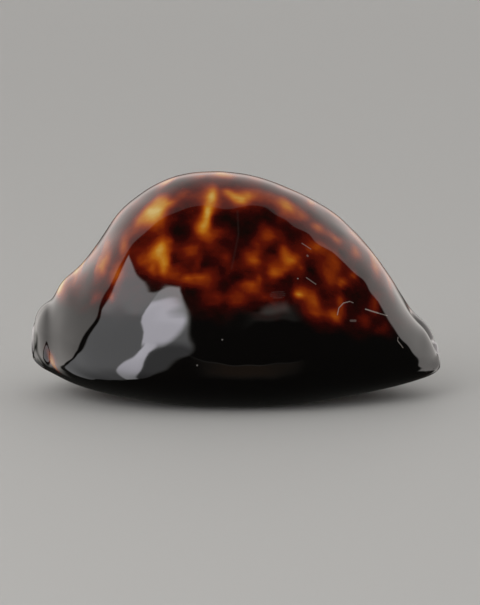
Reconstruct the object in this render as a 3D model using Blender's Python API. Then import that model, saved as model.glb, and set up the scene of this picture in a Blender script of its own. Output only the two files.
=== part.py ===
"""Thersites cowry: a humped, glossy sea-snail shell about 80 mm long, as one closed solid.

The shell is hollow, like the real one. Its wall is a loft of sections across the length. Each section is
one closed loop: the outside, the labral lip, the inside of the body whorl and the columellar lip. Both ends
of the loft are rounded over, which leaves the two canals open. +X is the anterior end, -Y the labral side,
+Z up, and the origin is the middle of the shell's box, at the surface that it rests on. Sizes are in metres.
"""

import bmesh
import bpy
import numpy as np

NAME = "thersites_cowry"
NODE = "shell"

# Driving dimensions. Each curve is a list of (station along X, value), joined by a smooth spline.

# The two ends, each with a notch where its canal opens between two lobes.
POSTERIOR_END = -0.0370
ANTERIOR_END = 0.0370
POSTERIOR_REACH = 0.0034
ANTERIOR_REACH = 0.0038
POSTERIOR_BACK_CUT = 0.15
ANTERIOR_BACK_CUT = 0.20
NOTCH_START = 0.031
NOTCH_END = 0.0404
POSTERIOR_NOTCH = 0.0006
ANTERIOR_NOTCH = 0.0011
NOTCH_REACH = 0.0030

# The outside: its top line, its half width and that width's height, its underside, and its lean at the ends.
CROWN = [(-0.0378, 0.0180), (-0.0361, 0.0190), (-0.0345, 0.0215), (-0.0313, 0.0247), (-0.0266, 0.0304),
         (-0.0235, 0.0349), (-0.0190, 0.0392), (-0.0125, 0.0427), (-0.0045, 0.0438), (0.0048, 0.0427),
         (0.0143, 0.0389), (0.0220, 0.0333), (0.0285, 0.0259), (0.0331, 0.0191), (0.0355, 0.0158),
         (0.0378, 0.0137)]
HALF_WIDTH = [(-0.0378, 0.0092), (-0.0362, 0.0105), (-0.0340, 0.0138), (-0.0310, 0.0179),
              (-0.0250, 0.0224), (-0.0170, 0.0256), (-0.0060, 0.0270), (0.0050, 0.0264), (0.0130, 0.0243),
              (0.0210, 0.0206), (0.0280, 0.0159), (0.0330, 0.0115), (0.0355, 0.0091), (0.0378, 0.0065)]
MIDDLE = [(-0.0378, 0.0010), (-0.0250, 0.0007), (0.0000, 0.0000), (0.0200, -0.0003), (0.0378, 0.0000)]
WIDEST = [(-0.0378, 0.0110), (-0.0250, 0.0106), (0.0000, 0.0102), (0.0200, 0.0098), (0.0378, 0.0088)]
KEEL = [(-0.0378, 0.0046), (-0.0330, 0.0026), (-0.0280, 0.0012), (-0.0200, -0.0002), (-0.0100, -0.0018),
        (0.0000, -0.0024), (0.0100, -0.0020), (0.0180, -0.0006), (0.0260, 0.0009), (0.0330, 0.0024),
        (0.0378, 0.0038)]
LEAN = [(-0.0378, -0.0012), (-0.0300, -0.0004), (-0.0200, 0.0), (0.0200, 0.0), (0.0300, 0.0003),
        (0.0378, 0.0012)]
ROUNDNESS = [(-0.0378, 1.00), (-0.0310, 0.90), (-0.0200, 0.79), (0.0000, 0.76), (0.0200, 0.80),
             (0.0310, 0.90), (0.0378, 1.00)]
FULLNESS = 0.12
FLAT_BLEND = 0.0006

# The aperture, a long curved slit in the base, and the lips that roll into it.
APERTURE_MIDDLE = [(-0.0378, 0.0022), (-0.0330, 0.0016), (-0.0260, -0.0004), (-0.0150, -0.0030),
                   (0.0000, -0.0042), (0.0120, -0.0038), (0.0240, -0.0022), (0.0330, -0.0006),
                   (0.0378, 0.0000)]
APERTURE_HALF_WIDTH = [(-0.0378, 0.0017), (-0.0330, 0.0018), (-0.0200, 0.0022), (0.0000, 0.0027),
                       (0.0170, 0.0034), (0.0260, 0.0032), (0.0320, 0.0022), (0.0378, 0.0017)]
LIP_ROLL = [(-0.0378, 0.0022), (-0.0300, 0.0027), (0.0000, 0.0029), (0.0300, 0.0027), (0.0378, 0.0022)]
LIP_WIDEST = 0.45

# The inside of the body whorl, and the roll that the inner whorl makes beside the aperture.
INNER_CROWN = [(-0.0378, 0.0124), (-0.0355, 0.0130), (-0.0325, 0.0160), (-0.0295, 0.0215),
               (-0.0260, 0.0284), (-0.0190, 0.0380), (-0.0120, 0.0418), (-0.0045, 0.0432), (0.0050, 0.0419),
               (0.0140, 0.0380), (0.0220, 0.0318), (0.0275, 0.0245), (0.0310, 0.0175), (0.0345, 0.0116),
               (0.0378, 0.0094)]
INNER_HALF_WIDTH = [(-0.0378, 0.0018), (-0.0350, 0.0023), (-0.0320, 0.0052), (-0.0280, 0.0118),
                    (-0.0220, 0.0172), (-0.0120, 0.0206), (-0.0030, 0.0214), (0.0060, 0.0206),
                    (0.0150, 0.0176), (0.0220, 0.0134), (0.0280, 0.0080), (0.0320, 0.0038),
                    (0.0350, 0.0021), (0.0378, 0.0018)]
INNER_MIDDLE = [(-0.0378, 0.0022), (-0.0320, 0.0015), (-0.0250, 0.0005), (-0.0100, 0.0004),
                (0.0100, 0.0002), (0.0280, -0.0008), (0.0378, 0.0000)]
INNER_WIDEST = [(-0.0378, 0.0098), (-0.0300, 0.0122), (-0.0150, 0.0140), (0.0000, 0.0145),
                (0.0150, 0.0135), (0.0280, 0.0105), (0.0378, 0.0082)]
INNER_FLOOR = [(-0.0378, 0.0062), (-0.0300, 0.0085), (-0.0200, 0.0065), (0.0000, 0.0050),
               (0.0150, 0.0052), (0.0250, 0.0062), (0.0378, 0.0048)]
INNER_EDGE_LIMIT = 0.92
COLUMELLA_HEIGHT = [(-0.0378, 0.0), (-0.0320, 0.0), (-0.0240, 0.0040), (-0.0120, 0.0080),
                    (0.0000, 0.0090), (0.0120, 0.0080), (0.0240, 0.0040), (0.0320, 0.0), (0.0378, 0.0)]
COLUMELLA_MIDDLE = 0.0085
COLUMELLA_REACH = 0.0055

# The teeth, along all of the labral lip and the front part of the columellar lip.
FIRST_TOOTH = -0.0312
TOOTH_PITCH = 0.0026
TOOTH_COUNT = 25
TOOTH_DEPTH = 0.0006
COLUMELLAR_TEETH_START = 0.002
COLUMELLAR_TEETH_FADE = 0.008

# How finely the loft is divided.
OUTSIDE_POINTS = 32
LENGTH_PER_TURN = 0.012
LIP_POINTS = 5
CAP_RINGS = 3
END_STATIONS = 5
MERGE_DISTANCE = 1e-6
SMALL_STEP = 1e-5
SMALL_SHARE = 1e-3

# The finish.
SHELL_COLOUR = (0.035, 0.008, 0.005, 1.0)
SHELL_ROUGHNESS = 0.12


def spline(points, at):
    """The natural cubic spline through points, at the given stations."""
    x, value = np.array(points).T
    step = np.diff(x)
    slope = np.diff(value) / step
    system = np.eye(len(x))
    change = np.zeros(len(x))
    for i in range(1, len(x) - 1):
        system[i, i - 1:i + 2] = step[i - 1], 2 * (step[i - 1] + step[i]), step[i]
        change[i] = 6 * (slope[i] - slope[i - 1])
    bend = np.linalg.solve(system, change)
    k = np.clip(np.searchsorted(x, at) - 1, 0, len(x) - 2)
    before = (x[k + 1] - at) / step[k]
    after = 1 - before
    arch = (before ** 3 - before) * bend[k] + (after ** 3 - after) * bend[k + 1]
    return before * value[k] + after * value[k + 1] + arch * step[k] ** 2 / 6


def oval(angle, middle, half_width, widest, top, bottom, roundness, fullness):
    """Y and Z of an egg-shaped section. Angle 0 is its columellar side, 90 degrees its top."""
    s = np.sin(angle)
    mean = (top - bottom) / 2
    rise = (top + bottom) / 2 - widest
    y = middle + half_width * np.cos(angle) * (1 + fullness * s ** 4)
    z = widest + roundness * mean * s + rise * s ** 2 + (1 - roundness) * mean * s ** 3
    return y, z


def angle_below(offset, fullness):
    """The angle from an oval's side down to the point that lies offset half-widths from its middle."""
    cosine = offset
    for _ in range(12):
        cosine = offset / (1 + fullness * (1 - cosine ** 2) ** 2)
    return np.arccos(cosine)


def rest_flat(z):
    """Heights pressed flat at zero, with a smooth start to the flat spot."""
    blended = (z + FLAT_BLEND) ** 2 / (4 * FLAT_BLEND)
    return np.where(z > FLAT_BLEND, z, np.where(z < -FLAT_BLEND, 0.0, blended))


def outside(x, share):
    """Y and Z of the outside, from the columellar edge of the aperture over the back to the labral edge."""
    middle, half_width = spline(MIDDLE, x), spline(HALF_WIDTH, x)
    aperture, edge = spline(APERTURE_MIDDLE, x), spline(APERTURE_HALF_WIDTH, x) + spline(LIP_ROLL, x)
    start = -angle_below((aperture + edge - middle) / half_width, FULLNESS)
    end = 2 * np.pi - angle_below((aperture - edge - middle) / half_width, FULLNESS)
    angle = start + (end - start) * share
    y, z = oval(angle, middle, half_width, spline(WIDEST, x), spline(CROWN, x), spline(KEEL, x),
                spline(ROUNDNESS, x), FULLNESS)
    z = z + spline(LEAN, x) * (y - middle) / half_width
    return y, rest_flat(z)


def inside(x, share):
    """Y and Z of the inside, in the same order, with the roll of the inner whorl raised from its floor."""
    middle, half_width = spline(INNER_MIDDLE, x), spline(INNER_HALF_WIDTH, x)
    aperture, edge = spline(APERTURE_MIDDLE, x), spline(APERTURE_HALF_WIDTH, x) + spline(LIP_ROLL, x)
    offset = np.stack([aperture + edge - middle, middle - aperture + edge]) / half_width
    offset = INNER_EDGE_LIMIT * offset / (1 + offset ** 4) ** 0.25
    start = -angle_below(offset[0], 0.0)
    end = np.pi + angle_below(offset[1], 0.0)
    angle = start + (end - start) * share
    y, z = oval(angle, middle, half_width, spline(INNER_WIDEST, x), spline(INNER_CROWN, x),
                spline(INNER_FLOOR, x), spline(ROUNDNESS, x), 0.0)
    below = np.clip(-np.sin(angle), 0, 1) ** 2
    roll = spline(COLUMELLA_HEIGHT, x) * np.exp(-((y - COLUMELLA_MIDDLE) / COLUMELLA_REACH) ** 2)
    return y, z + roll * below


def lip(x, end, side):
    """Points of a lip, from the outside to the inside: two quarter ellipses that meet where it is nearest."""
    near = np.array([end, abs(end - SMALL_SHARE)])
    outer, inner = np.array(outside(x, near)), np.array(inside(x, near[:1]))[:, :, 0]
    slope = (outer[1, :, 0] - outer[1, :, 1]) / (outer[0, :, 0] - outer[0, :, 1])
    outer = outer[:, :, 0]
    edge = (spline(APERTURE_MIDDLE, x) + side * spline(APERTURE_HALF_WIDTH, x))[:, 0]
    widest = outer[1] + LIP_WIDEST * (inner[1] - outer[1])
    angle = np.linspace(0, np.pi, LIP_POINTS + 2)[1:-1]
    sine, cosine = np.sin(angle), np.abs(np.cos(angle))
    beginning = angle < np.pi / 2
    foot = np.where(beginning, outer[:, :, None], inner[:, :, None])
    run = edge[:, None] - foot[0]
    y = foot[0] + run * sine
    z = widest[:, None] + (foot[1] - widest[:, None]) * cosine
    z = z + beginning * slope[:, None] * run * (sine + cosine - 1)
    core = (outer + inner)[:, :, None] / 2
    away = np.stack([y, z]) - core
    depth = TOOTH_DEPTH * cut_between_teeth(x, side)
    return np.stack([y, z]) - depth * away / np.hypot(away[0], away[1])


def cut_between_teeth(x, side):
    """The depth of the cuts in a lip: 0 on a tooth, 1 between two. The columellar teeth fade out behind."""
    count = (x - FIRST_TOOTH) / TOOTH_PITCH
    toothed = (count > -0.01) & (count < TOOTH_COUNT - 0.99)
    strength = np.where(side < 0, 1.0, np.clip((x - COLUMELLAR_TEETH_START) / COLUMELLAR_TEETH_FADE, 0, 1))
    return np.where(toothed, 0.5 - 0.5 * np.cos(2 * np.pi * count), 0.0) * strength


def even_shares():
    """Where a section's points fall along it: closer where it turns more, as on the middle section."""
    dense = np.linspace(0, 1, 2000)
    y, z = outside(np.zeros(dense.size), dense)
    length = np.hypot(np.diff(y), np.diff(z))
    heading = np.unwrap(np.arctan2(np.diff(z), np.diff(y)))
    turn = np.abs(np.diff(heading, prepend=heading[0]))
    travelled = np.concatenate([[0], np.cumsum(turn + length / LENGTH_PER_TURN)])
    return np.interp(np.linspace(0, travelled[-1], OUTSIDE_POINTS), travelled, dense)


def sections(x):
    """The closed loops at stations x, as an array of stations by points by (x, y, z)."""
    x = x[:, None]
    share = even_shares()[None, :]
    outer, inner = np.array(outside(x, share)), np.array(inside(x, share))
    labral, columellar = lip(x, 1.0, -1), lip(x, 0.0, 1)
    loop = np.concatenate([outer, labral, inner[:, :, ::-1], columellar[:, :, ::-1]], axis=2)
    return np.stack([np.broadcast_to(x, loop.shape[1:]), loop[0], loop[1]], axis=2)


def cap(loop, slope, furthest, back_cut):
    """Rings that close an end of the loft: each point meets its partner across the wall on an arc."""
    count = len(loop)
    partner = (2 * OUTSIDE_POINTS + LIP_POINTS - 1 - np.arange(count)) % count
    over_lip = np.abs(np.cos(np.linspace(0, np.pi, LIP_POINTS + 2)[1:-1]))
    over_back = 1 - back_cut * np.sin(np.pi * even_shares()) ** 4
    reach = furthest * np.concatenate([over_back, over_lip, over_back[::-1], over_lip])
    along = np.roll(loop, -1, axis=0) - np.roll(loop, 1, axis=0)
    along = along / np.linalg.norm(along, axis=1, keepdims=True)
    heading = slope - (slope * along).sum(axis=1, keepdims=True) * along
    tangent = reach[:, None] * heading / np.linalg.norm(heading, axis=1, keepdims=True)
    ridge = (loop + loop[partner] + tangent + tangent[partner]) / 2
    start = loop - ridge + tangent
    angles = np.linspace(0, np.pi / 2, CAP_RINGS + 1)[1:]
    return [ridge - tangent + start * np.cos(angle) + tangent * np.sin(angle) for angle in angles]


def notched(points):
    """The points with both ends drawn in at the canals, which leaves a rounded lobe on each side of them."""
    x, y, z = points.T
    ramp = np.clip((np.abs(x) - NOTCH_START) / (NOTCH_END - NOTCH_START), 0, 1)
    aperture = spline(APERTURE_MIDDLE, np.clip(x, POSTERIOR_END, ANTERIOR_END))
    dent = ramp ** 2 * (3 - 2 * ramp) * np.exp(-((y - aperture) / NOTCH_REACH) ** 2)
    depth = np.where(x < 0, -POSTERIOR_NOTCH, ANTERIOR_NOTCH)
    return np.stack([x - depth * dent, y, z], axis=1)


def stations():
    """Places along the shell: one on each tooth, one between each two, and a few more towards the ends."""
    toothed = FIRST_TOOTH + TOOTH_PITCH / 2 * np.arange(2 * TOOTH_COUNT - 1)
    behind = np.linspace(POSTERIOR_END, toothed[0], END_STATIONS + 1)[:-1]
    ahead = np.linspace(toothed[-1], ANTERIOR_END, END_STATIONS + 1)[1:]
    return np.concatenate([behind, toothed, ahead])


def shell_mesh():
    """The whole wall as one closed mesh: rings of points, with quads between each ring and the next."""
    loops = sections(stations())
    behind = sections(np.array([POSTERIOR_END, POSTERIOR_END + SMALL_STEP]))
    ahead = sections(np.array([ANTERIOR_END, ANTERIOR_END - SMALL_STEP]))
    posterior = cap(behind[0], (behind[0] - behind[1]) / SMALL_STEP, POSTERIOR_REACH, POSTERIOR_BACK_CUT)
    anterior = cap(ahead[0], (ahead[0] - ahead[1]) / SMALL_STEP, ANTERIOR_REACH, ANTERIOR_BACK_CUT)
    rings = np.concatenate([posterior[::-1], loops, anterior])
    count, around = rings.shape[:2]
    index = np.arange(count * around).reshape(count, around)
    following = np.roll(index, -1, axis=1)
    faces = np.stack([index[:-1], index[1:], following[1:], following[:-1]], axis=2).reshape(-1, 4)
    mesh = bpy.data.meshes.new(NODE)
    mesh.from_pydata(notched(rings.reshape(-1, 3)).tolist(), [], faces.tolist())
    wall = bmesh.new()
    wall.from_mesh(mesh)
    bmesh.ops.remove_doubles(wall, verts=wall.verts, dist=MERGE_DISTANCE)
    bmesh.ops.recalc_face_normals(wall, faces=wall.faces)
    wall.to_mesh(mesh)
    wall.free()
    mesh.shade_smooth()
    return mesh


def shell_material():
    """Deep gloss over dark red-brown, the colour that most of the back and margins share."""
    material = bpy.data.materials.new("glossy_shell")
    material.use_nodes = True
    surface = material.node_tree.nodes["Principled BSDF"]
    surface.inputs["Base Color"].default_value = SHELL_COLOUR
    surface.inputs["Roughness"].default_value = SHELL_ROUGHNESS
    surface.inputs["Metallic"].default_value = 0.0
    return material


def build():
    """The shell, in a collection of its own."""
    for old in list(bpy.data.objects):
        bpy.data.objects.remove(old, do_unlink=True)
    collection = bpy.data.collections.new(NAME)
    bpy.context.scene.collection.children.link(collection)
    shell = bpy.data.objects.new(NODE, shell_mesh())
    shell.data.materials.append(shell_material())
    collection.objects.link(shell)


build()
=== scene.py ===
"""The looks of a thersites cowry: its finished shell, a pale floor, soft studio light and the camera.

Sizes are in metres. +X is the shell's anterior end, -Y its labral side, +Z up, and it rests at Z = 0.
"""

import bpy
import numpy as np
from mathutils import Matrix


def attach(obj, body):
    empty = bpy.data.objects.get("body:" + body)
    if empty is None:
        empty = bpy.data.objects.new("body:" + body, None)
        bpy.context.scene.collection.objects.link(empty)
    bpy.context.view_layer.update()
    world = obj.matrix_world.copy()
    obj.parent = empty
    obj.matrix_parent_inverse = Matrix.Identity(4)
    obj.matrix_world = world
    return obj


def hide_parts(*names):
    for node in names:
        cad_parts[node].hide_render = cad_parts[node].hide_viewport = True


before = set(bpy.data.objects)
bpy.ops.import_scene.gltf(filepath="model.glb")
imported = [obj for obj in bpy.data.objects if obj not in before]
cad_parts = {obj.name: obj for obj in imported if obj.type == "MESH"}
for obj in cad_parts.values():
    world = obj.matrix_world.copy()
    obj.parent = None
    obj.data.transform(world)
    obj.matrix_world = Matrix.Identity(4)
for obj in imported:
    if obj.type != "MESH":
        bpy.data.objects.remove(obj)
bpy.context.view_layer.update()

# The shell
# The whole cowry is one shell of aragonite, grown in one piece. The animal's mantle covered it in life and
# laid down its enamel, so the outside is smooth and glossy all round. The aperture's lips are toothed.

POSTERIOR_END, ANTERIOR_END = -0.0370, 0.0370
POSTERIOR_REACH, ANTERIOR_REACH = 0.0034, 0.0038
POSTERIOR_BACK_CUT, ANTERIOR_BACK_CUT = 0.15, 0.20
NOTCH_START, NOTCH_END, NOTCH_REACH = 0.031, 0.0404, 0.0030
POSTERIOR_NOTCH, ANTERIOR_NOTCH = 0.0006, 0.0011

# The outside: its top line, its half width and that width's height, its underside, and its lean at the ends.
CROWN = [(-0.0378, 0.0180), (-0.0361, 0.0190), (-0.0345, 0.0215), (-0.0313, 0.0247), (-0.0266, 0.0304),
         (-0.0235, 0.0349), (-0.0190, 0.0392), (-0.0125, 0.0427), (-0.0045, 0.0438), (0.0048, 0.0427),
         (0.0143, 0.0389), (0.0220, 0.0333), (0.0285, 0.0259), (0.0331, 0.0191), (0.0355, 0.0158),
         (0.0378, 0.0137)]
HALF_WIDTH = [(-0.0378, 0.0092), (-0.0362, 0.0105), (-0.0340, 0.0138), (-0.0310, 0.0179),
              (-0.0250, 0.0224), (-0.0170, 0.0256), (-0.0060, 0.0270), (0.0050, 0.0264), (0.0130, 0.0243),
              (0.0210, 0.0206), (0.0280, 0.0159), (0.0330, 0.0115), (0.0355, 0.0091), (0.0378, 0.0065)]
MIDDLE = [(-0.0378, 0.0010), (-0.0250, 0.0007), (0.0000, 0.0000), (0.0200, -0.0003), (0.0378, 0.0000)]
WIDEST = [(-0.0378, 0.0110), (-0.0250, 0.0106), (0.0000, 0.0102), (0.0200, 0.0098), (0.0378, 0.0088)]
KEEL = [(-0.0378, 0.0046), (-0.0330, 0.0026), (-0.0280, 0.0012), (-0.0200, -0.0002), (-0.0100, -0.0018),
        (0.0000, -0.0024), (0.0100, -0.0020), (0.0180, -0.0006), (0.0260, 0.0009), (0.0330, 0.0024),
        (0.0378, 0.0038)]
LEAN = [(-0.0378, -0.0012), (-0.0300, -0.0004), (-0.0200, 0.0), (0.0200, 0.0), (0.0300, 0.0003),
        (0.0378, 0.0012)]
ROUNDNESS = [(-0.0378, 1.00), (-0.0310, 0.90), (-0.0200, 0.79), (0.0000, 0.76), (0.0200, 0.80),
             (0.0310, 0.90), (0.0378, 1.00)]
FULLNESS, FLAT_BLEND = 0.12, 0.0006

# The aperture, a long curved slit in the base, and the lips that roll into it.
APERTURE_MIDDLE = [(-0.0378, 0.0022), (-0.0330, 0.0016), (-0.0260, -0.0004), (-0.0150, -0.0030),
                   (0.0000, -0.0042), (0.0120, -0.0038), (0.0240, -0.0022), (0.0330, -0.0006),
                   (0.0378, 0.0000)]
APERTURE_HALF_WIDTH = [(-0.0378, 0.0017), (-0.0330, 0.0018), (-0.0200, 0.0022), (0.0000, 0.0027),
                       (0.0170, 0.0034), (0.0260, 0.0032), (0.0320, 0.0022), (0.0378, 0.0017)]
LIP_ROLL = [(-0.0378, 0.0022), (-0.0300, 0.0027), (0.0000, 0.0029), (0.0300, 0.0027), (0.0378, 0.0022)]
LIP_WIDEST = 0.45

# The inside of the body whorl, and the roll that the inner whorl makes beside the aperture.
INNER_CROWN = [(-0.0378, 0.0124), (-0.0355, 0.0130), (-0.0325, 0.0160), (-0.0295, 0.0215),
               (-0.0260, 0.0284), (-0.0190, 0.0380), (-0.0120, 0.0418), (-0.0045, 0.0432), (0.0050, 0.0419),
               (0.0140, 0.0380), (0.0220, 0.0318), (0.0275, 0.0245), (0.0310, 0.0175), (0.0345, 0.0116),
               (0.0378, 0.0094)]
INNER_HALF_WIDTH = [(-0.0378, 0.0018), (-0.0350, 0.0023), (-0.0320, 0.0052), (-0.0280, 0.0118),
                    (-0.0220, 0.0172), (-0.0120, 0.0206), (-0.0030, 0.0214), (0.0060, 0.0206),
                    (0.0150, 0.0176), (0.0220, 0.0134), (0.0280, 0.0080), (0.0320, 0.0038),
                    (0.0350, 0.0021), (0.0378, 0.0018)]
INNER_MIDDLE = [(-0.0378, 0.0022), (-0.0320, 0.0015), (-0.0250, 0.0005), (-0.0100, 0.0004),
                (0.0100, 0.0002), (0.0280, -0.0008), (0.0378, 0.0000)]
INNER_WIDEST = [(-0.0378, 0.0098), (-0.0300, 0.0122), (-0.0150, 0.0140), (0.0000, 0.0145),
                (0.0150, 0.0135), (0.0280, 0.0105), (0.0378, 0.0082)]
INNER_FLOOR = [(-0.0378, 0.0062), (-0.0300, 0.0085), (-0.0200, 0.0065), (0.0000, 0.0050),
               (0.0150, 0.0052), (0.0250, 0.0062), (0.0378, 0.0048)]
INNER_EDGE_LIMIT = 0.92
COLUMELLA_HEIGHT = [(-0.0378, 0.0), (-0.0320, 0.0), (-0.0240, 0.0040), (-0.0120, 0.0080),
                    (0.0000, 0.0090), (0.0120, 0.0080), (0.0240, 0.0040), (0.0320, 0.0), (0.0378, 0.0)]
COLUMELLA_MIDDLE, COLUMELLA_REACH = 0.0085, 0.0055

# The teeth, along all of the labral lip and the front part of the columellar lip.
FIRST_TOOTH, TOOTH_PITCH, TOOTH_COUNT, TOOTH_DEPTH = -0.0312, 0.0026, 25, 0.0006
COLUMELLAR_TEETH_START, COLUMELLAR_TEETH_FADE = 0.002, 0.008
TOOTH_POWER = 0.6

# How finely the surface is drawn and worked out.
STATIONS, OUTSIDE_POINTS, LIP_POINTS, CAP_RINGS = 250, 150, 19, 8
LENGTH_PER_TURN = 0.012
SMALL_STEP, SMALL_SHARE = 1e-5, 1e-3
DENSE_POINTS, SIDE_POINTS, DIVISIONS = 4000, 500, 12
FLAT_PLACES = (0, 0.75, 0.79, 0.96, 1)
WAVES, WAVE_SPREAD = 12, (0.7, 1.4)


def spline(points, at):
    """The natural cubic spline through points: on each stretch, the straight line between its two ends plus
    an arch from the bends at them, where the bends solve the system that makes the slopes meet."""
    x, value = np.array(points).T
    step = np.diff(x)
    slope = np.diff(value) / step
    system, change = np.eye(len(x)), np.zeros(len(x))
    for i in range(1, len(x) - 1):
        system[i, i - 1:i + 2] = step[i - 1], 2 * (step[i - 1] + step[i]), step[i]
        change[i] = 6 * (slope[i] - slope[i - 1])
    bend = np.linalg.solve(system, change)
    k = np.clip(np.searchsorted(x, at) - 1, 0, len(x) - 2)
    before = (x[k + 1] - at) / step[k]
    after = 1 - before
    arch = (before ** 3 - before) * bend[k] + (after ** 3 - after) * bend[k + 1]
    return before * value[k] + after * value[k + 1] + arch * step[k] ** 2 / 6


def smooth(low, high, value):
    """0 up to low, 1 from high on, and between them the cubic 3t^2 - 2t^3. Low may be the larger one."""
    t = np.clip((value - low) / (high - low), 0, 1)
    return t * t * (3 - 2 * t)


def oval(angle, middle, half_width, widest, top, bottom, roundness, fullness):
    """An egg-shaped section. Y goes with the cosine of the angle, fuller by its sine's fourth power. Z goes
    with a blend of the sine and its cube, plus its square times what sets the middle off the widest part."""
    s = np.sin(angle)
    mean = (top - bottom) / 2
    rise = (top + bottom) / 2 - widest
    y = middle + half_width * np.cos(angle) * (1 + fullness * s ** 4)
    z = widest + roundness * mean * s + rise * s ** 2 + (1 - roundness) * mean * s ** 3
    return y, z


def angle_below(offset, fullness):
    """The angle from an oval's side down to the point offset half widths from its middle, by repeated
    division of the offset by the fullness there."""
    cosine = offset
    for _ in range(DIVISIONS):
        cosine = offset / (1 + fullness * (1 - cosine ** 2) ** 2)
    return np.arccos(cosine)


def outside(x, share):
    """The outside at share 0 to 1 of the way round, from the columellar edge of the aperture over the back
    to the labral edge: an oval that leans with Y, with heights under zero pressed flat by a parabola."""
    middle, half_width = spline(MIDDLE, x), spline(HALF_WIDTH, x)
    aperture, edge = spline(APERTURE_MIDDLE, x), spline(APERTURE_HALF_WIDTH, x) + spline(LIP_ROLL, x)
    start = -angle_below((aperture + edge - middle) / half_width, FULLNESS)
    end = 2 * np.pi - angle_below((aperture - edge - middle) / half_width, FULLNESS)
    y, z = oval(start + (end - start) * share, middle, half_width, spline(WIDEST, x), spline(CROWN, x),
                spline(KEEL, x), spline(ROUNDNESS, x), FULLNESS)
    z = z + spline(LEAN, x) * (y - middle) / half_width
    blended = (z + FLAT_BLEND) ** 2 / (4 * FLAT_BLEND)
    return y, np.where(z > FLAT_BLEND, z, np.where(z < -FLAT_BLEND, 0.0, blended))


def inside(x, share):
    """The inside in the same order: an oval, plus a bell-shaped roll of the inner whorl on its floor."""
    middle, half_width = spline(INNER_MIDDLE, x), spline(INNER_HALF_WIDTH, x)
    aperture, edge = spline(APERTURE_MIDDLE, x), spline(APERTURE_HALF_WIDTH, x) + spline(LIP_ROLL, x)
    offset = np.stack([aperture + edge - middle, middle - aperture + edge]) / half_width
    offset = INNER_EDGE_LIMIT * offset / (1 + offset ** 4) ** 0.25
    start, end = -angle_below(offset[0], 0.0), np.pi + angle_below(offset[1], 0.0)
    angle = start + (end - start) * share
    y, z = oval(angle, middle, half_width, spline(INNER_WIDEST, x), spline(INNER_CROWN, x),
                spline(INNER_FLOOR, x), spline(ROUNDNESS, x), 0.0)
    roll = spline(COLUMELLA_HEIGHT, x) * np.exp(-((y - COLUMELLA_MIDDLE) / COLUMELLA_REACH) ** 2)
    return y, z + roll * np.clip(-np.sin(angle), 0, 1) ** 2


def between_teeth(x, side):
    """1 between two teeth and 0 on a tooth, as a cosine along X. The columellar ones fade out behind."""
    count = (x - FIRST_TOOTH) / TOOTH_PITCH
    toothed = smooth(-0.5, 0.0, count) * smooth(TOOTH_COUNT - 0.5, TOOTH_COUNT - 1.0, count)
    strength = np.where(side < 0, 1.0, np.clip((x - COLUMELLAR_TEETH_START) / COLUMELLAR_TEETH_FADE, 0, 1))
    return (0.5 - 0.5 * np.cos(2 * np.pi * count)) * toothed * strength


def lip(x, end, side):
    """A lip, from the outside to the inside: two quarter ellipses that meet where it is nearest the other
    lip. The first starts along the outside's slope, and the teeth are cuts towards the lip's core."""
    outer = np.array(outside(x, np.array([end, abs(end - SMALL_SHARE)])))
    inner = np.array(inside(x, np.array([end])))[:, :, 0]
    slope = (outer[1, :, 0] - outer[1, :, 1]) / (outer[0, :, 0] - outer[0, :, 1])
    outer = outer[:, :, 0]
    edge = (spline(APERTURE_MIDDLE, x) + side * spline(APERTURE_HALF_WIDTH, x))[:, 0]
    widest = outer[1] + LIP_WIDEST * (inner[1] - outer[1])
    angle = np.linspace(0, np.pi, LIP_POINTS + 2)[1:-1]
    sine, cosine = np.sin(angle), np.abs(np.cos(angle))
    beginning = angle < np.pi / 2
    foot = np.where(beginning, outer[:, :, None], inner[:, :, None])
    run = edge[:, None] - foot[0]
    y = foot[0] + run * sine
    z = widest[:, None] + (foot[1] - widest[:, None]) * cosine
    z = z + beginning * slope[:, None] * run * (sine + cosine - 1)
    away = np.stack([y, z]) - (outer + inner)[:, :, None] / 2
    depth = TOOTH_DEPTH * between_teeth(x, side) * sine ** TOOTH_POWER
    return np.stack([y, z]) - depth * away / np.hypot(away[0], away[1])


def even_shares():
    """Shares that follow how far the middle section has turned, plus its length over LENGTH_PER_TURN."""
    dense = np.linspace(0, 1, DENSE_POINTS)
    y, z = outside(np.zeros(dense.size), dense)
    heading = np.unwrap(np.arctan2(np.diff(z), np.diff(y)))
    turn = np.abs(np.diff(heading, prepend=heading[0]))
    travelled = np.append(0, np.cumsum(turn + np.hypot(np.diff(y), np.diff(z)) / LENGTH_PER_TURN))
    return np.interp(np.linspace(0, travelled[-1], OUTSIDE_POINTS), travelled, dense)


def sections(x):
    """Closed loops at stations x: the outside, labral lip, inside and columellar lip, one after another."""
    x, share = x[:, None], even_shares()[None, :]
    outer, inner = np.array(outside(x, share)), np.array(inside(x, share))
    labral, columellar = lip(x, 1.0, -1), lip(x, 0.0, 1)
    loop = np.concatenate([outer, labral, inner[:, :, ::-1], columellar[:, :, ::-1]], axis=2)
    return np.stack([np.broadcast_to(x, loop.shape[1:]), loop[0], loop[1]], axis=2)


def partners():
    """For each point of a loop, the index of the one across the wall from it. A lip's are its own."""
    count = 2 * (OUTSIDE_POINTS + LIP_POINTS)
    return (2 * OUTSIDE_POINTS + LIP_POINTS - 1 - np.arange(count)) % count


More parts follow.
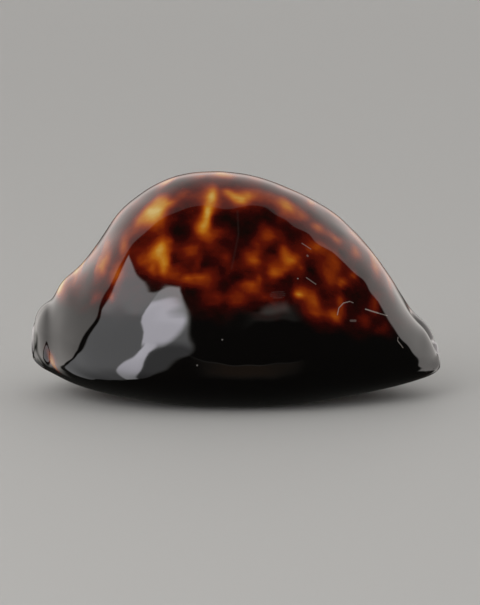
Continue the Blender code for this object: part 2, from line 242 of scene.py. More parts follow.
def cap(loop, slope, furthest, back_cut):
    """Rings that round off an end: each point goes to the middle between it and its partner, on a quarter
    ellipse that leaves along the surface's slope."""
    over_lip = np.abs(np.cos(np.linspace(0, np.pi, LIP_POINTS + 2)[1:-1]))
    over_back = 1 - back_cut * np.sin(np.pi * even_shares()) ** 4
    reach = furthest * np.concatenate([over_back, over_lip, over_back[::-1], over_lip])
    along = np.roll(loop, -1, axis=0) - np.roll(loop, 1, axis=0)
    along = along / np.linalg.norm(along, axis=1, keepdims=True)
    heading = slope - (slope * along).sum(axis=1, keepdims=True) * along
    tangent = reach[:, None] * heading / np.linalg.norm(heading, axis=1, keepdims=True)
    ridge = (loop + loop[partners()] + tangent + tangent[partners()]) / 2
    start = loop - ridge + tangent
    turns = np.linspace(0, np.pi / 2, CAP_RINGS + 1)[1:]
    return [ridge - tangent + start * np.cos(turn) + tangent * np.sin(turn) for turn in turns]


def notched(points):
    """Both ends drawn in at the canals, by a bell across Y that grows along X towards the tip."""
    x, y, z = points.T
    ramp = smooth(NOTCH_START, NOTCH_END, np.abs(x))
    aperture = spline(APERTURE_MIDDLE, np.clip(x, POSTERIOR_END, ANTERIOR_END))
    dent = ramp * np.exp(-((y - aperture) / NOTCH_REACH) ** 2)
    return np.stack([x - np.where(x < 0, -POSTERIOR_NOTCH, ANTERIOR_NOTCH) * dent, y, z], axis=1)


def shell_surface():
    """The wall's points, its quads and each point's place round its ring. The loft's rings follow each other
    along X, and the last ring of each end is sewn to itself across the wall."""
    behind = sections(np.array([POSTERIOR_END, POSTERIOR_END + SMALL_STEP]))
    ahead = sections(np.array([ANTERIOR_END, ANTERIOR_END - SMALL_STEP]))
    posterior = cap(behind[0], (behind[0] - behind[1]) / SMALL_STEP, POSTERIOR_REACH, POSTERIOR_BACK_CUT)
    anterior = cap(ahead[0], (ahead[0] - ahead[1]) / SMALL_STEP, ANTERIOR_REACH, ANTERIOR_BACK_CUT)
    body = sections(np.linspace(POSTERIOR_END, ANTERIOR_END, STATIONS))
    rings = np.concatenate([posterior[::-1], body, anterior])
    count, around = rings.shape[:2]
    index = np.arange(count * around).reshape(count, around)
    for end in (0, -1):
        index[end] = np.minimum(index[end], index[end][partners()])
    following = np.roll(index, -1, axis=1)
    quads = np.stack([index[:-1], following[:-1], following[1:], index[1:]], axis=2).reshape(-1, 4)
    used, quads = np.unique(quads, return_inverse=True)
    return notched(rings.reshape(-1, 3))[used], quads.reshape(-1, 4), used % around


def unfolded(ring_count, around):
    """The quads' corners laid flat, two numbers each: the first follows X, and the second goes round the
    ring, with three quarters of it for the outside."""
    along = np.linspace(0, 1, ring_count)
    places = np.cumsum([0, OUTSIDE_POINTS, LIP_POINTS, OUTSIDE_POINTS, LIP_POINTS])
    round_ring = np.interp(np.arange(around + 1), places, FLAT_PLACES)
    corners = np.empty((ring_count - 1, around, 4, 2))
    corners[:, :, :2, 0] = along[:-1, None, None]
    corners[:, :, 2:, 0] = along[1:, None, None]
    corners[:, :, (0, 3), 1] = round_ring[None, :-1, None]
    corners[:, :, (1, 2), 1] = round_ring[None, 1:, None]
    return corners


def waves(points, length, seed):
    """A smooth random field of mostly -1 to 1: plane waves near that length, of random headings, with their
    sum divided by the root of their number."""
    rng = np.random.default_rng(seed)
    heading = rng.normal(size=(3, WAVES))
    heading *= rng.uniform(*WAVE_SPREAD, WAVES) / length / np.linalg.norm(heading, axis=0)
    return np.sin(2 * np.pi * (points @ heading + rng.uniform(0, 1, WAVES))).sum(axis=1) / WAVES ** 0.5


def near_line(points, start, end, reach):
    """A bell of the distance to a straight line between two places: 1 on it, and 1/e at reach."""
    start, run = np.array(start), np.array(end) - np.array(start)
    share = np.clip((points - start) @ run / (run @ run), 0, 1)
    return np.exp(-(((points - start - share[:, None] * run) ** 2).sum(axis=1)) / reach ** 2)


points, quads, place = shell_surface()
shell_mesh = bpy.data.meshes.new("shell_surface")
shell_mesh.from_pydata(points.tolist(), [], quads.tolist())
around = 2 * (OUTSIDE_POINTS + LIP_POINTS)
flat_corners = unfolded(len(quads) // around + 1, around)
shell_mesh.uv_layers.new(name="OFBake").data.foreach_set("uv", flat_corners.astype(np.float32).ravel())
normals = np.zeros(points.size, np.float32)
shell_mesh.vertex_normals.foreach_get("vector", normals)
normals = normals.reshape(-1, 3)

# Grown enamel is never quite even: it swells and sinks by a few tenths of a millimetre over several. Each
# canal runs a short way up its end of the back, a shallow pit marks the spire that the enamel has covered,
# and the labral lobe slopes off a little towards its posterior tip.
SWELL_LENGTHS, SWELL_DEPTHS = (0.018, 0.009, 0.005), (0.00010, 0.00004, 0.000015)
SWELL_MEAN, SWELL_HEIGHTS = 1.4, (0.002, 0.010)
CANALS = [((0.0398, 0.0004, 0.0100), (0.0357, 0.0000, 0.0152), 0.0006),
          ((-0.0400, 0.0020, 0.0115), (-0.0372, 0.0018, 0.0180), 0.0003)]
CANAL_REACH = 0.0012
TIP_SPAN, TIP_OFF_APERTURE, TIP_DEPTH = (-0.0348, -0.0396), (0.002, 0.006), 0.00055
SPIRE_START, SPIRE_END = (-0.0325, 0.0040, 0.0215), (-0.0315, 0.0040, 0.0228)
SPIRE_REACH, SPIRE_DEPTH = 0.0028, 0.0005

x, y, z = points.T
outer = place < OUTSIDE_POINTS
off_aperture = np.abs(y - spline(APERTURE_MIDDLE, np.clip(x, POSTERIOR_END, ANTERIOR_END)))
sunk = TIP_DEPTH * smooth(*TIP_SPAN, x) * (y < 0) * smooth(*TIP_OFF_APERTURE, off_aperture)
sunk += sum(depth * near_line(points, start, end, CANAL_REACH) for start, end, depth in CANALS)
sunk += SPIRE_DEPTH * near_line(points, SPIRE_START, SPIRE_END, SPIRE_REACH)
for seed, (length, depth) in enumerate(zip(SWELL_LENGTHS, SWELL_DEPTHS)):
    sunk += depth * (SWELL_MEAN + waves(points, length, seed)) * smooth(*SWELL_HEIGHTS, z)
points = points - (sunk * outer)[:, None] * normals
shell_mesh.vertices.foreach_set("co", points.astype(np.float32).ravel())
shell_mesh.shade_smooth()
shell_mesh.update()

# The colour lies in layers under the gloss: the ground is amber, and a dark net of pigment leaves windows to
# it. Each window on the labral side is (station, height, reach along, reach across, clearness), and each dark
# blotch between them is (station, height, reach), with all but the clearness in millimetres.
MM = 0.001
WINDOWS = [(-15.7, 37.1, 2.7, 2.8, 1), (-12.7, 38.8, 2.0, 1.3, 0.6), (-14.5, 39.3, 1.1, 3.0, 0.55),
           (-18.6, 35.4, 1.9, 1.8, 0.6), (-4.8, 40.2, 1.3, 3.2, 0.9), (-5.8, 37.3, 1.2, 2.9, 0.9),
           (-6.4, 35.0, 1.4, 1.8, 0.85), (-3.9, 33.6, 2.0, 0.9, 0.5), (0.7, 39.6, 2.2, 2.0, 0.85),
           (-1.1, 40.4, 1.4, 1.4, 0.6), (2.4, 40.5, 1.4, 1.5, 0.5), (9.5, 38.3, 2.4, 2.2, 0.7),
           (12.5, 36.4, 2.2, 1.8, 0.45), (16.4, 34.1, 2.0, 1.5, 0.55), (19.7, 31.9, 1.7, 1.7, 0.55),
           (23.2, 29.4, 1.4, 2.1, 0.6), (27.1, 26.2, 1.2, 3.2, 0.65), (30.0, 22.9, 0.9, 3.5, 0.65),
           (-21.3, 31.3, 1.3, 3.4, 0.6), (-24.9, 30.8, 1.1, 4.6, 0.5), (-22.7, 25.7, 1.3, 2.7, 0.6),
           (-26.2, 27.0, 0.9, 3.3, 0.5), (-14.8, 30.6, 2.0, 2.5, 0.85), (-13.2, 28.1, 1.6, 2.0, 0.75),
           (-16.3, 27.0, 1.1, 1.2, 0.4), (-8.9, 30.3, 1.7, 1.3, 0.42), (-6.3, 25.5, 2.4, 1.5, 0.6),
           (-8.9, 26.4, 1.3, 1.0, 0.4), (-3.9, 22.2, 1.9, 1.3, 0.35), (-4.6, 31.6, 2.0, 1.2, 0.3),
           (-1.5, 28.9, 1.3, 2.0, 0.3), (3.3, 29.2, 1.6, 1.9, 0.6), (10.4, 28.9, 1.7, 1.6, 0.75),
           (8.2, 26.9, 1.9, 1.4, 0.65), (9.1, 30.4, 0.9, 1.1, 0.35), (6.6, 33.6, 1.9, 1.8, 0.42),
           (4.6, 32.0, 1.1, 1.2, 0.35), (2.9, 24.0, 1.9, 1.3, 0.6), (0.4, 22.2, 1.6, 1.1, 0.45),
           (4.6, 25.4, 0.9, 1.0, 0.4), (12.5, 22.9, 1.6, 1.2, 0.85), (15.0, 21.4, 1.4, 1.2, 0.5),
           (15.3, 31.0, 2.4, 1.9, 0.5), (18.6, 28.1, 2.2, 2.0, 0.46), (17.6, 25.5, 1.7, 1.7, 0.45),
           (21.0, 24.2, 1.6, 1.2, 0.7), (22.5, 25.6, 0.9, 1.1, 0.4), (15.3, 19.1, 2.2, 1.3, 0.5),
           (18.4, 18.4, 1.7, 1.1, 0.5), (19.7, 20.4, 1.3, 1.8, 0.48), (26.5, 20.1, 0.9, 1.9, 0.5),
           (24.8, 16.8, 2.4, 1.3, 0.25), (28.7, 14.8, 1.6, 1.3, 0.25), (6.5, 22.1, 2.2, 1.0, 0.3),
           (-11.2, 26.0, 1.3, 1.2, 0.3), (-17.8, 28.8, 1.3, 1.6, 0.5), (-12.0, 32.3, 1.3, 1.1, 0.3),
           (-9.9, 40.6, 2.7, 2.0, 0.34), (5.1, 40.4, 3.1, 2.1, 0.34), (12.4, 26.8, 0.9, 1.0, 0.3),
           (13.3, 30.2, 0.9, 1.1, 0.3), (-33.6, 22.6, 0.9, 4.2, 1), (-34.0, 21.8, 0.8, 2.6, 0.9),
           (-31.3, 24.5, 0.9, 4.7, 0.95), (-29.8, 26.0, 0.7, 4.7, 0.85), (-27.5, 28.9, 0.7, 4.2, 0.75),
           (-25.0, 27.2, 0.7, 2.0, 0.6), (-26.7, 21.3, 0.9, 1.1, 0.4), (-23.9, 21.6, 0.9, 0.9, 0.4),
           (-7.2, 28.3, 0.8, 1.0, 0.25)]
BLOTCHES = [(-10.1, 33.9, 2.1), (-2.7, 36.7, 2.0), (-8.0, 22.0, 1.5), (7.1, 30.2, 1.0), (2.2, 34.6, 2.1),
            (0.6, 26.4, 1.1), (11.0, 32.7, 1.4), (14.3, 26.5, 0.8), (23.5, 21.3, 1.2), (9.9, 24.9, 1.1),
            (-11.1, 28.4, 0.9), (-5.7, 28.8, 1.0), (-1.7, 24.9, 1.2), (17.6, 22.5, 0.6), (6.1, 36.5, 1.9),
            (20.5, 29.2, 0.7)]
BLOTCH_DARKNESS = 0.88
NARROW_SHARE, WIDE_SHARE, WIDENING = 0.8, 0.2, 2
WARP_LENGTH, WARP = 0.006, 0.0005

# The other side's windows are drawn at random, above a height and past a plane that leans over the crown.
FAR_WINDOWS, FAR_TRIES, FAR_SPACING = 100, 4000, 0.0042
FAR_FOOT, FAR_LEAN = 0.016, 0.2
FAR_REACHES, FAR_CLEARNESS = (0.0013, 0.0027), (0.3, 0.95)


def labral_place(x, z):
    """The point of the outside at station x whose height on the labral side is z, in metres."""
    y_line, z_line = outside(np.full(SIDE_POINTS, x), np.linspace(0.5, 1, SIDE_POINTS))
    crest = np.argmax(z_line)
    return x, np.interp(-z, -z_line[crest:], y_line[crest:]), z


def clearness(points, windows):
    """How clear of pigment each point is. A window clears by a narrow bell plus one twice as wide, and the
    parts left dark by all the windows are multiplied together."""
    dark = np.ones(len(points))
    for centre, along, across, strength in windows:
        away = (points - centre) ** 2
        far = away[:, 0] / along ** 2 + (away[:, 1] + away[:, 2]) / across ** 2
        dark *= 1 - strength * (NARROW_SHARE * np.exp(-far) + WIDE_SHARE * np.exp(-far / WIDENING ** 2))
    return 1 - dark


near_windows = [(np.array(labral_place(x * MM, z * MM)), along * MM, across * MM, strength)
                for x, z, along, across, strength in WINDOWS]
rng = np.random.default_rng(11)
taken = [window[0] for window in near_windows]
far_windows = []
hidden = outer & (points[:, 2] > FAR_FOOT) & (points[:, 1] > -FAR_LEAN * (points[:, 2] - FAR_FOOT))
for centre in rng.permutation(points[hidden])[:FAR_TRIES]:
    if len(far_windows) < FAR_WINDOWS and min(np.linalg.norm(taken - centre, axis=1)) > FAR_SPACING:
        taken.append(centre)
        far_windows.append((centre, *rng.uniform(*FAR_REACHES, 2), rng.uniform(*FAR_CLEARNESS)))
warped = points + WARP * np.stack([waves(points, WARP_LENGTH, seed) for seed in (21, 22, 23)], axis=1)
clear = clearness(warped, near_windows + far_windows)
for x, z, reach in BLOTCHES:
    away = np.linalg.norm(warped - labral_place(x * MM, z * MM), axis=1)
    clear *= 1 - BLOTCH_DARKNESS * np.exp(-(away / (reach * MM)) ** 4)

# Near the posterior tip a soft orange spot clears the black.
TIP_SPOT, TIP_SPOT_REACH = (-0.0366, -0.0090, 0.0071), 0.0022
TIP_SPOT_FULLNESS, TIP_SPOT_CLEARNESS = 1.4, 0.78
tip_spot = np.exp(-(np.linalg.norm(warped - TIP_SPOT, axis=1) / TIP_SPOT_REACH) ** 2) * outer
tip_spot = np.minimum(TIP_SPOT_FULLNESS * tip_spot, 1)
clear = np.maximum(clear, TIP_SPOT_CLEARNESS * tip_spot)

# Heights where the back's pattern gives way to the black margin, and how softly it does. Spans are from where
# a tint is none to where it is full: how far from the aperture, how high, and how far round the lip.
MARGIN_TOP = [(-0.0400, 0.0205), (-0.0340, 0.0190), (-0.0270, 0.0185), (-0.0200, 0.0190), (-0.0148, 0.0200),
              (-0.0070, 0.0190), (0.0029, 0.0194), (0.0087, 0.0192), (0.0127, 0.0178), (0.0166, 0.0158),
              (0.0215, 0.0146), (0.0274, 0.0132), (0.0323, 0.0140), (0.0360, 0.0160), (0.0400, 0.0190)]
MARGIN_SOFTNESS, MARGIN_WOBBLE, WOBBLE_LENGTH = 0.0013, 0.0006, 0.007
LIP_TINT_SPAN, LIP_TINT_HEIGHTS = (0.006, 0.002), (0.006, 0.002)
GAP_SPAN, GAP_HEIGHTS = (0.0035, 0.002), (0.004, 0.001)
INNER_SPAN = (0.45, 0.85)

x, y, z = points.T
edge_height = spline(MARGIN_TOP, x) + MARGIN_WOBBLE * waves(points, WOBBLE_LENGTH, 31)
margin = smooth(MARGIN_SOFTNESS, -MARGIN_SOFTNESS, z - edge_height) * (1 - tip_spot)
lip_turn = np.select([outer, place < OUTSIDE_POINTS + LIP_POINTS, place < 2 * OUTSIDE_POINTS + LIP_POINTS],
                     [0.0, (place - OUTSIDE_POINTS + 1) / (LIP_POINTS + 1), 1.0],
                     1 - (place - 2 * OUTSIDE_POINTS - LIP_POINTS + 1) / (LIP_POINTS + 1))
aperture_middle = spline(APERTURE_MIDDLE, np.clip(x, POSTERIOR_END, ANTERIOR_END))
from_aperture = np.abs(y - aperture_middle) - spline(APERTURE_HALF_WIDTH, x)
lip_tint = np.maximum(smooth(*LIP_TINT_SPAN, from_aperture) * smooth(*LIP_TINT_HEIGHTS, z), lip_turn > 0)
onto_base = smooth(*GAP_SPAN, from_aperture) * smooth(*GAP_HEIGHTS, z)
in_gap = np.where(outer, onto_base, np.sin(np.pi * lip_turn) ** TOOTH_POWER)
gaps = between_teeth(x, np.where(y < aperture_middle, -1, 1)) * in_gap
for name, values in [("clear", clear), ("margin", margin), ("lip", lip_tint), ("gap", gaps),
                     ("inner", smooth(*INNER_SPAN, lip_turn))]:
    shell_mesh.attributes.new(name, "FLOAT", "POINT").data.foreach_set("value", values.astype(np.float32))

shell = bpy.data.objects.new("glossy_shell", shell_mesh)
bpy.context.scene.collection.objects.link(shell)

shell_material = bpy.data.materials.new("glossy_enamel")
shell_material.use_nodes = True
nodes, links = shell_material.node_tree.nodes, shell_material.node_tree.links
surface = nodes["Principled BSDF"]


def node(kind, inputs=(), **settings):
    """A node of the tree in hand. An input is given a value, or another node's output to be joined to."""
    made = nodes.new("ShaderNode" + kind)
    for name, value in settings.items():
        setattr(made, name, value)
    for name, value in dict(inputs).items():
        if isinstance(value, bpy.types.NodeSocket):
            links.new(value, made.inputs[name])
        else:
            made.inputs[name].default_value = value
    return made


def mask(name):
    """One of the mesh's attributes, as a value."""
    return node("Attribute", attribute_name=name).outputs["Fac"]


def mixed(amount, first, second):
    """The first colour going over to the second as the amount goes from 0 to 1."""
    made = node("Mix", {"Factor": amount}, data_type="RGBA")
    for socket, value in ((made.inputs[6], first), (made.inputs[7], second)):
        if isinstance(value, bpy.types.NodeSocket):
            links.new(value, socket)
        else:
            socket.default_value = value
    return made.outputs[2]


def math(operation, *values):
    """A sum or other operation on values and sockets."""
    return node("Math", dict(enumerate(values)), operation=operation).outputs["Value"]


def edge(value, low, high):
    """A soft edge: 0 up to low and 1 from high on. Low may be the larger one."""
    limits = {"Value": value, "From Min": low, "From Max": high}
    return node("MapRange", limits, interpolation_type="SMOOTHSTEP").outputs["Result"]


# Fine wisps are added to the clearness, and the ramp gives each clearness its colour.
WISP_SCALE, WISP_DETAIL = 420.0, 3.0
WISP_RANGE = {"From Min": 0.25, "From Max": 0.75, "To Min": -0.05, "To Max": 0.09}
STOPS = [(0.00, (0.007, 0.0016, 0.0008)), (0.12, (0.030, 0.0014, 0.0009)), (0.30, (0.12, 0.0075, 0.0018)),
         (0.46, (0.27, 0.033, 0.0024)), (0.60, (0.42, 0.085, 0.0045)), (0.76, (0.58, 0.20, 0.0110)),
         (0.90, (0.66, 0.36, 0.0600)), (1.00, (0.73, 0.51, 0.1600))]

place_on_shell = node("TexCoord").outputs["Object"]
grain = node("TexNoise", {"Vector": place_on_shell, "Scale": WISP_SCALE, "Detail": WISP_DETAIL})
wisps = node("MapRange", {"Value": grain.outputs["Fac"], **WISP_RANGE}).outputs["Result"]
clear_here = node("Math", {0: mask("clear"), 1: wisps}, operation="ADD", use_clamp=True)
ramp = node("ValToRGB", {"Fac": clear_here.outputs["Value"]})
for position, colour in STOPS[1:-1]:
    ramp.color_ramp.elements.new(position)
for element, (position, colour) in zip(ramp.color_ramp.elements, STOPS):
    element.position = position
    element.color = (*colour, 1.0)

# Small marks. The labral side has thin pale lines, a faint growth line down the back and a patch of fine
# ripples, and specks lie in the black all round. Each pale line, and each part of the growth line, runs
# between two places (x, z) with a width, all in millimetres, and a strength.
PALE_LINES = [((19.4, 18.3), (19.7, 19.5), 0.13, 0.55), ((19.7, 19.5), (20.6, 20.3), 0.13, 0.60),
             ((20.6, 20.3), (21.8, 20.5), 0.12, 0.55), ((21.8, 20.5), (22.5, 20.2), 0.11, 0.40),
             ((24.9, 18.8), (27.4, 17.8), 0.16, 0.65), ((27.4, 17.8), (29.2, 17.1), 0.12, 0.50),
             ((12.7, 31.5), (14.4, 30.4), 0.13, 0.25), ((13.7, 29.3), (13.8, 29.2), 0.24, 0.25),
             ((11.8, 25.3), (11.9, 25.3), 0.16, 0.50), ((13.5, 25.4), (15.3, 24.1), 0.14, 0.30),
             ((22.0, 17.0), (22.9, 16.9), 0.30, 0.20), ((31.3, 12.9), (31.2, 12.3), 0.11, 0.50),
             ((31.2, 12.3), (31.8, 11.5), 0.11, 0.55), ((31.8, 11.5), (32.3, 10.8), 0.11, 0.50),
             ((0.4, 37.4), (0.6, 33.5), 0.30, 0.012), ((0.6, 33.5), (-0.7, 27.4), 0.30, 0.012)]
# The colour that the thin pale lines lay over the pattern.
PALE_LINE_COLOUR = (0.46, 0.41, 0.37, 1.0)
PALE_LINE_CORE = 0.3
SPECK_COLOUR = (0.16, 0.15, 0.14, 1.0)
SPECK_SCALE, SPECK_RADIUS, SPECK_RARITY = 420.0, 0.07, 0.93
LABRAL_LIMIT = -0.003
RIPPLE_PLACE, RIPPLE_SCALE = (0.0080, 0.0, 0.0226), (1 / 0.0019, 0.0, 1 / 0.0009)
RIPPLE_EDGE, RIPPLE_PITCH, RIPPLE_HEIGHT = (1.0, 0.5), 0.00036, 0.000006

parts_of_place = node("SeparateXYZ", {"Vector": place_on_shell}).outputs
seen_from_side = node("CombineXYZ", {"X": parts_of_place["X"], "Z": parts_of_place["Z"]}).outputs["Vector"]
labral_side = math("LESS_THAN", parts_of_place["Y"], LABRAL_LIMIT)


def vector(operation, output="Vector", **inputs):
    """A vector operation. Its inputs are a, b and c, and its output is a vector or a value."""
    joined = {"abc".index(name): value for name, value in inputs.items()}
    return node("VectorMath", joined, operation=operation).outputs[output]


def pale_line(start, end, width, strength):
    """A pale line: strength on it and a little to its sides, and 0 at the given width away from it."""
    start, end = (np.array([x, 0.0, z]) * MM for x, z in (start, end))
    run = end - start
    away = vector("SUBTRACT", a=seen_from_side, b=start)
    along = vector("DOT_PRODUCT", "Value", a=away, b=run / (run @ run))
    share = node("Math", {0: along, 1: 0.0}, operation="ADD", use_clamp=True).outputs["Value"]
    nearest = node("VectorMath", {0: run, "Scale": share}, operation="SCALE").outputs["Vector"]
    reach = {"Value": vector("DISTANCE", "Value", a=away, b=nearest), "From Min": width * MM,
             "From Max": PALE_LINE_CORE * width * MM, "To Max": strength}
    return node("MapRange", reach, interpolation_type="SMOOTHSTEP").outputs["Result"]


pale_lines_mask = 0.0
for line in PALE_LINES:
    pale_lines_mask = math("MAXIMUM", pale_lines_mask, pale_line(*line))
pale_lines_mask = math("MULTIPLY", pale_lines_mask, labral_side)

cells = node("TexVoronoi", {"Vector": place_on_shell, "Scale": SPECK_SCALE})
chance = node("SeparateXYZ", {"Vector": cells.outputs["Color"]}).outputs["X"]
specks = math("MULTIPLY", math("LESS_THAN", cells.outputs["Distance"], SPECK_RADIUS),
              math("GREATER_THAN", chance, SPECK_RARITY))
specks = math("MULTIPLY", specks, mask("margin"))

from_patch = vector("MULTIPLY", a=vector("SUBTRACT", a=seen_from_side, b=RIPPLE_PLACE), b=RIPPLE_SCALE)
patch = edge(vector("LENGTH", "Value", a=from_patch), *RIPPLE_EDGE)
patch = math("MULTIPLY", patch, labral_side)
crests = math("SINE", math("MULTIPLY", parts_of_place["Z"], 2 * np.pi / RIPPLE_PITCH))
ripples = math("MULTIPLY", crests, patch)
bump = node("Bump", {"Strength": 1.0, "Distance": RIPPLE_HEIGHT, "Height": ripples})
links.new(bump.outputs["Normal"], surface.inputs["Normal"])

MARGIN_COLOUR = (0.0021, 0.0016, 0.0014, 1.0)
LIP_COLOUR = (0.030, 0.013, 0.0080, 1.0)
GAP_COLOUR = (0.42, 0.31, 0.22, 1.0)
INNER_COLOUR = (0.60, 0.57, 0.58, 1.0)
GLOSS_ROUGHNESS, ENAMEL_IOR = 0.04, 1.6

colour = mixed(mask("margin"), ramp.outputs["Color"], MARGIN_COLOUR)
colour = mixed(specks, colour, SPECK_COLOUR)
# The thin pale lines go over the pattern and the specks.
colour = mixed(pale_lines_mask, colour, PALE_LINE_COLOUR)
colour = mixed(mask("lip"), colour, LIP_COLOUR)
colour = mixed(mask("gap"), colour, GAP_COLOUR)
colour = mixed(mask("inner"), colour, INNER_COLOUR)
links.new(colour, surface.inputs["Base Color"])
surface.inputs["Roughness"].default_value = GLOSS_ROUGHNESS
surface.inputs["IOR"].default_value = ENAMEL_IOR
shell_mesh.materials.append(shell_material)

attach(shell, "root")
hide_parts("shell")

# The floor
# A plain pale board that the shell stands on. It is wide enough to fill every view, has no marks of its own
# and isn't mirrored by the shell.

FLOOR_HALF_WIDTH = 4.0
FLOOR_COLOUR, FLOOR_ROUGHNESS = (0.55, 0.54, 0.52, 1.0), 0.7

floor_mesh = bpy.data.meshes.new("floor")
corners = FLOOR_HALF_WIDTH * np.array([(-1, -1, 0), (1, -1, 0), (1, 1, 0), (-1, 1, 0)])
floor_mesh.from_pydata(corners.tolist(), [], [(0, 1, 2, 3)])
floor = bpy.data.objects.new("floor", floor_mesh)
bpy.context.scene.collection.objects.link(floor)
floor_material = bpy.data.materials.new("pale_floor")
floor_material.use_nodes = True
board = floor_material.node_tree.nodes["Principled BSDF"]
board.inputs["Base Color"].default_value = FLOOR_COLOUR
board.inputs["Roughness"].default_value = FLOOR_ROUGHNESS
floor_mesh.materials.append(floor_material)
floor.visible_glossy = False

# The light
# A white tent stands behind the shell and dims towards its top and where the dark backdrop fills it. In front
# of it at the left is a soft box, with a bright window and a stripe of its light that runs down to the table.

TENT_COLOUR, BOX_COLOUR = (1.0, 0.95, 0.91, 1.0), (0.98, 0.98, 1.0, 1.0)
WINDOW_COLOUR, DARK_COLOUR = (0.94, 0.91, 1.0, 1.0), (1.0, 0.98, 0.90, 1.0)
DESK_COLOUR = (1.0, 0.70, 0.50, 1.0)
SOFT_LIGHT, SEEN_WORLD = (0.60, 0.60, 0.60, 1.0), (0.62, 0.61, 0.59, 1.0)

# Each is (elevation, azimuth) or (elevation, radiance), with the angles in degrees. Azimuth 0 is the camera's
# side, and 90 is +X.
TENT_RADIANCE = [(-90, 1.1), (-35, 1.10), (-5, 1.25), (5, 1.38), (18, 1.32), (30, 1.02), (40, 0.80),
                 (55, 0.52), (72, 0.30), (90, 0.25)]
TENT_RIGHT_EDGE = [(-90, 130), (-38, 114), (-28, 108), (-18, 101), (0, 100), (90, 100)]
BOX_LEFT_EDGE = [(-90, -80), (-59, -102), (-55, -122), (-50, -134), (-43, -145), (-30, -140), (-26, -128),
                 (-14, -99), (4, -84), (21, -80.5), (25, -79.5), (30, -82.5), (33, -85.5), (90, -85.5)]
BOX_RIGHT_EDGE = [(-90, -110), (-61, -95), (-57, -70), (-52, -50), (-39, -35), (-22, -26), (-11, -22),
                  (-3, -18), (3, -13), (10, -10), (27, -10), (38, -12), (42, -15), (90, -15)]
BOX_RADIANCE = [(-90, 0.5), (-58, 0.5), (-52, 0.6), (-38, 1.0), (-25, 1.25), (28, 1.35), (35, 2.1), (90, 2.1)]
STRIPE_MIDDLE = [(-90, -115), (-54, -73), (-39, -58), (-22, -47), (-10, -42), (0, -38), (12, -32), (90, -30)]
STRIPE_RADIANCE = [(-90, 0.3), (-54, 1.8), (-30, 4.0), (-10, 5.0), (4, 5.6), (15, 4.5), (22, 0.3), (90, 0.3)]

# Soft edges, each from where the thing named begins to where it is full, in degrees. BEHIND and BACKDROP_BACK
# are cosines instead, and WINDOW_TINT is radiances. A slant tilts its edge.
TENT_RIGHT_SOFTNESS, TENT_FOOT, TENT_FOOT_SLANT, TENT_SLOPE = (-1.0, 1.0), (-34.0, -29.0), 6.0, 0.05
STRAIGHT_BEHIND, BEHIND = (0.0, 0.990, -0.139), (0.999, 0.88)
BACKDROP_BACK, BACKDROP_TOP = (0.68, 0.82), (-5.0, -12.0)
GAP_HALF_WIDTH, GAP_SOFTNESS = 3.0, 1
BOX_RIGHT_SOFTNESS, BOX_TOP, BOX_TOP_SLANT, BOX_FOOT = (-1.0, 2.5), (42.0, 40.6), 0.025, (-60.0, -56.0)
BOX_LEFT_SHADE, BOX_LEFT_LEAST = (-130.0, -90.0), 0.5
STRIPE_WIDTH, PAST_STRIPE, PAST_STRIPE_TOP, PAST_STRIPE_LOSS = (5.2, 3.0), (-2.0, 8.0), (20.0, 8.0), -0.62
WINDOW_LEFT, WINDOW_RIGHT, WINDOW_FOOT = (-41.0, -38.5), (-10.5, -16.0), (4.0, 14.0)
WINDOW_SLANT, WINDOW_SILL, WINDOW_TOP = -1.3, (42.0, 53.0), (37.5, 33.5)
WINDOW_LEAST, WINDOW_GAIN, WINDOW_TINT = 1.2, 3.7, (0.5, 4.0)

# Faint glows in the dark room: where the middle is, how far it is flat, and how far it reaches, along the
# azimuth and then the elevation. The desk's elevations bow with the azimuth.
LAMP, LAMP_RADIANCE = ((28.0, 3.0, 13.0), (35.5, 0.5, 4.0)), 0.40
HAZE, HAZE_RADIANCE = ((26.0, 8.0, 24.0), (32.5, 2.0, 4.5)), 0.13
RIM, RIM_RADIANCE = ((8.0, 6.0, 30.0), (-14.5, 0.2, 1.5)), 0.18
DESK, DESK_TOP, DESK_FOOT, DESK_RADIANCE = (12.0, 8.0, 28.0), (-13.5, -17.0), (-55.0, -30.0), 0.12
DESK_MIDDLE, DESK_BOW = 16.0, -0.02
ROOM_RADIANCE = 0.022

world = bpy.data.worlds.new("studio")
bpy.context.scene.world = world
world.use_nodes = True
nodes, links = world.node_tree.nodes, world.node_tree.links


def spot(value, middle, flat, reach):
    """A soft spot: 1 within flat of the middle, 0 beyond reach."""
    return edge(math("ABSOLUTE", math("SUBTRACT", value, middle)), reach, flat)


def by_height(points):
    """A value that follows the elevation through points of (elevation, value)."""
    values = [value for _, value in points]
    low, high = min(values), max(values)
    made = node("FloatCurve", {"Value": height_share})
    curve = made.mapping.curves[0].points
    for height, value in points[1:-1]:
        curve.new(height / 180 + 0.5, (value - low) / (high - low))
    for point, (height, value) in ((curve[0], points[0]), (curve[-1], points[-1])):
        point.location = height / 180 + 0.5, (value - low) / (high - low)
    made.mapping.update()
    return math("MULTIPLY_ADD", made.outputs["Value"], high - low, low)


facing = node("TexCoord").outputs["Generated"]
heading = node("SeparateXYZ", {"Vector": facing}).outputs
azimuth = math("DEGREES", math("ARCTAN2", heading["X"], math("MULTIPLY", heading["Y"], -1.0)))
height = math("DEGREES", math("ARCSINE", heading["Z"]))
height_share = math("MULTIPLY_ADD", height, 1 / 180, 0.5)

